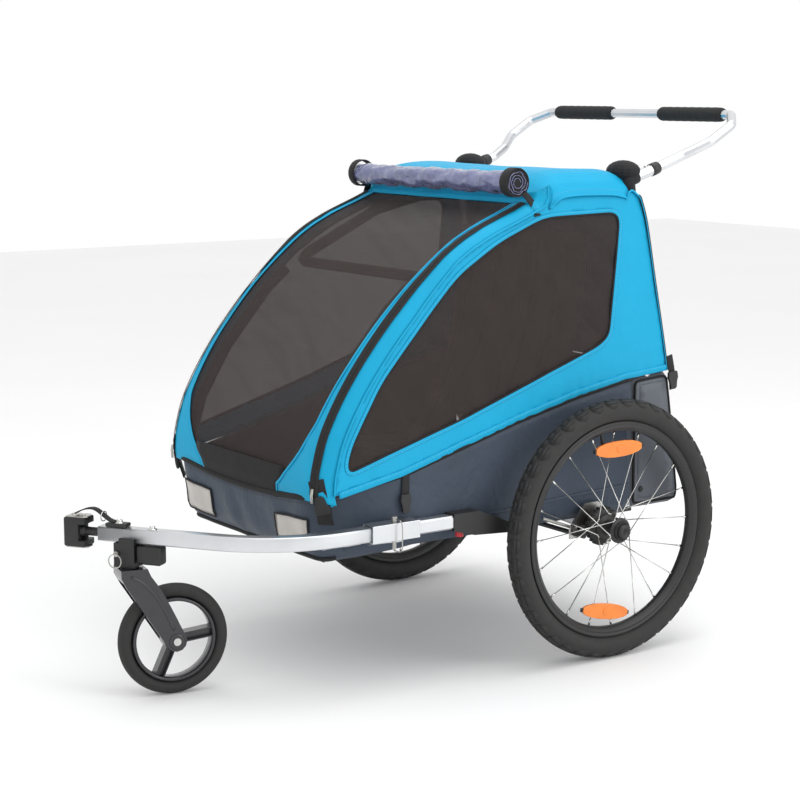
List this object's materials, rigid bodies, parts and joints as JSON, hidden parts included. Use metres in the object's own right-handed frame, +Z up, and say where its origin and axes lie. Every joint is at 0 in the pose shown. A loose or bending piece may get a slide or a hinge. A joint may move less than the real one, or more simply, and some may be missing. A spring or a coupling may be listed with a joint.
{
  "type": "child bicycle trailer",
  "caption": "Child bicycle trailer with a fabric cabin on an aluminium frame, spoked wheels, a side tow arm, a swivelling stroller wheel and a push handlebar.",
  "frame": {"origin": "on the ground, under the middle of the whole object's bounding box, tow arm and handlebar included", "axes": "+Z up, -Y the way the trailer travels, towards the hitch, and +X the trailer's left side, where the tow arm is"},
  "size_m": [0.79, 1.3296, 1.0405],
  "materials": {
    "aluminium": "satin anodised tube",
    "steel": "zinc plated",
    "black_plastic": "moulded, fine grain",
    "red_plastic": "moulded",
    "amber_plastic": "clear amber prism reflector",
    "tyre": "black tread",
    "foam": "closed-cell foam",
    "blue_fabric": "coated woven polyester",
    "grey_fabric": "coated woven polyester",
    "black_mesh": "fine mesh",
    "seat_fabric": "woven polyester",
    "webbing": "woven webbing",
    "clear_film": "clear soft film, rolled up"
  },
  "bodies": {
    "base": {"front_cross_tube": "aluminium", "axle_tube": "aluminium", "side_rail_left": "aluminium", "side_rail_right": "aluminium", "tow_rail": "aluminium", "arm_sleeve": "aluminium", "tow_arm": "aluminium", "axle_bracket_left": "steel", "axle_bracket_right": "steel", "arm_pin": "steel", "caster_pin": "steel", "rail_bracket": "black_plastic", "hitch_ball": "black_plastic", "strap_anchor": "black_plastic", "caster_bracket": "black_plastic", "canopy_shell": "blue_fabric", "lower_body": "grey_fabric", "cargo_bag": "grey_fabric", "front_mesh": "black_mesh", "side_window_left": "black_mesh", "side_window_right": "black_mesh", "seat_back": "seat_fabric", "seat_bench": "seat_fabric", "safety_strap": "webbing", "rain_cover_roll": "clear_film"},
    "uprights": {"rear_upright_left": "aluminium", "rear_upright_right": "aluminium", "upright_cross_tube": "aluminium", "corner_cap_left": "black_plastic", "corner_cap_right": "black_plastic"},
    "roof_hoop": {"roof_hoop": "aluminium"},
    "front_arch": {"front_arch": "aluminium"},
    "handlebar": {"handlebar": "aluminium", "grip_left": "foam", "grip_right": "foam"},
    "wheel_left": {"tyre_left": "tyre", "rim_left": "black_plastic", "spokes_left": "steel", "hub_left": "black_plastic", "reflector_left_1": "amber_plastic", "reflector_left_2": "amber_plastic"},
    "wheel_right": {"tyre_right": "tyre", "rim_right": "black_plastic", "spokes_right": "steel", "hub_right": "black_plastic", "reflector_right_1": "amber_plastic", "reflector_right_2": "amber_plastic"},
    "hub_button_left": {"hub_button_left": "black_plastic"},
    "hub_button_right": {"hub_button_right": "black_plastic"},
    "caster_fork": {"fork": "black_plastic", "caster_bolt": "steel"},
    "caster_wheel": {"caster_wheel": "black_plastic", "caster_tyre": "tyre"},
    "caster_lever": {"caster_lever": "black_plastic"},
    "caster_pin_ring": {"caster_pin_ring": "steel"},
    "arm_pin_wire": {"arm_pin_wire": "steel"},
    "hitch_clamp": {"hitch_clamp": "black_plastic"},
    "release_button": {"release_button": "red_plastic"},
    "brake_pedal": {"brake_pedal": "black_plastic"}
  },
  "joints": [
    {"name": "wheel_left_spin", "type": "hinge", "parent": "base", "child": "wheel_left", "pos_m": [0.3575, 0.2943, 0.25], "axis": [1, 0, 0], "continuous": true},
    {"name": "wheel_right_spin", "type": "hinge", "parent": "base", "child": "wheel_right", "pos_m": [-0.3575, 0.2943, 0.25], "axis": [1, 0, 0], "continuous": true},
    {"name": "hub_button_left_press", "type": "slide", "parent": "wheel_left", "child": "hub_button_left", "axis": [-1, 0, 0], "range_m": [0, 0.0035], "stiffness_N_per_m": 300, "springref_m": -0.004},
    {"name": "hub_button_right_press", "type": "slide", "parent": "wheel_right", "child": "hub_button_right", "axis": [1, 0, 0], "range_m": [0, 0.0035], "stiffness_N_per_m": 300, "springref_m": -0.004},
    {"name": "caster_swivel", "type": "hinge", "parent": "base", "child": "caster_fork", "pos_m": [0.06863, -0.57964, 0.25], "axis": [0, 0, 1], "continuous": true},
    {"name": "caster_wheel_spin", "type": "hinge", "parent": "caster_fork", "child": "caster_wheel", "pos_m": [0.0832, -0.50607, 0.1016], "axis": [0.981, -0.1942, 0], "continuous": true},
    {"name": "frame_fold", "type": "hinge", "parent": "base", "child": "uprights", "pos_m": [0, 0.4743, 0.302], "axis": [1, 0, 0], "range_deg": [0, 68], "deforming": ["canopy_shell", "side_window_left", "side_window_right", "front_mesh", "rain_cover_roll", "seat_back", "seat_bench"]},
    {"name": "roof_hoop_fold", "type": "hinge", "parent": "uprights", "child": "roof_hoop", "pos_m": [0, 0.3943, 0.885], "axis": [1, 0, 0], "range_deg": [0, 91.8]},
    {"name": "front_arch_fold", "type": "hinge", "parent": "base", "child": "front_arch", "pos_m": [0, -0.2807, 0.302], "axis": [1, 0, 0], "range_deg": [-52, 0]},
    {"name": "handlebar_slide", "type": "slide", "parent": "uprights", "child": "handlebar", "axis": [0, 0.9564, 0.2922], "range_m": [0, 0.03]},
    {"name": "caster_lever_turn", "type": "hinge", "parent": "base", "child": "caster_lever", "pos_m": [0.0837, -0.56891, 0.2515], "axis": [-0.58, 0.8146, 0], "range_deg": [0, 24]},
    {"name": "caster_ring_swing", "type": "hinge", "parent": "base", "child": "caster_pin_ring", "pos_m": [0.06974, -0.61052, 0.267], "axis": [0.58, -0.8146, 0], "range_deg": [-90, 90]},
    {"name": "arm_pin_wire_swing", "type": "hinge", "parent": "base", "child": "arm_pin_wire", "pos_m": [0.306, -0.1757, 0.3205], "axis": [0, -1, 0], "range_deg": [0, 100]},
    {"name": "hitch_turn", "type": "hinge", "parent": "base", "child": "hitch_clamp", "pos_m": [-0.00876, -0.63474, 0.299], "axis": [0, 0, 1], "range_deg": [-30, 30]},
    {"name": "release_button_press", "type": "slide", "parent": "base", "child": "release_button", "axis": [0, 0, 1], "range_m": [0, 0.003], "stiffness_N_per_m": 300, "springref_m": -0.004},
    {"name": "brake_pedal_press", "type": "hinge", "parent": "base", "child": "brake_pedal", "pos_m": [0, 0.2468, 0.236], "axis": [-1, 0, 0], "range_deg": [0, 14]}
  ],
  "couplings": [
    {"joint": "roof_hoop_fold", "follows": "frame_fold", "ratio": 1.35},
    {"joint": "front_arch_fold", "follows": "frame_fold", "ratio": -0.7647}
  ]
}
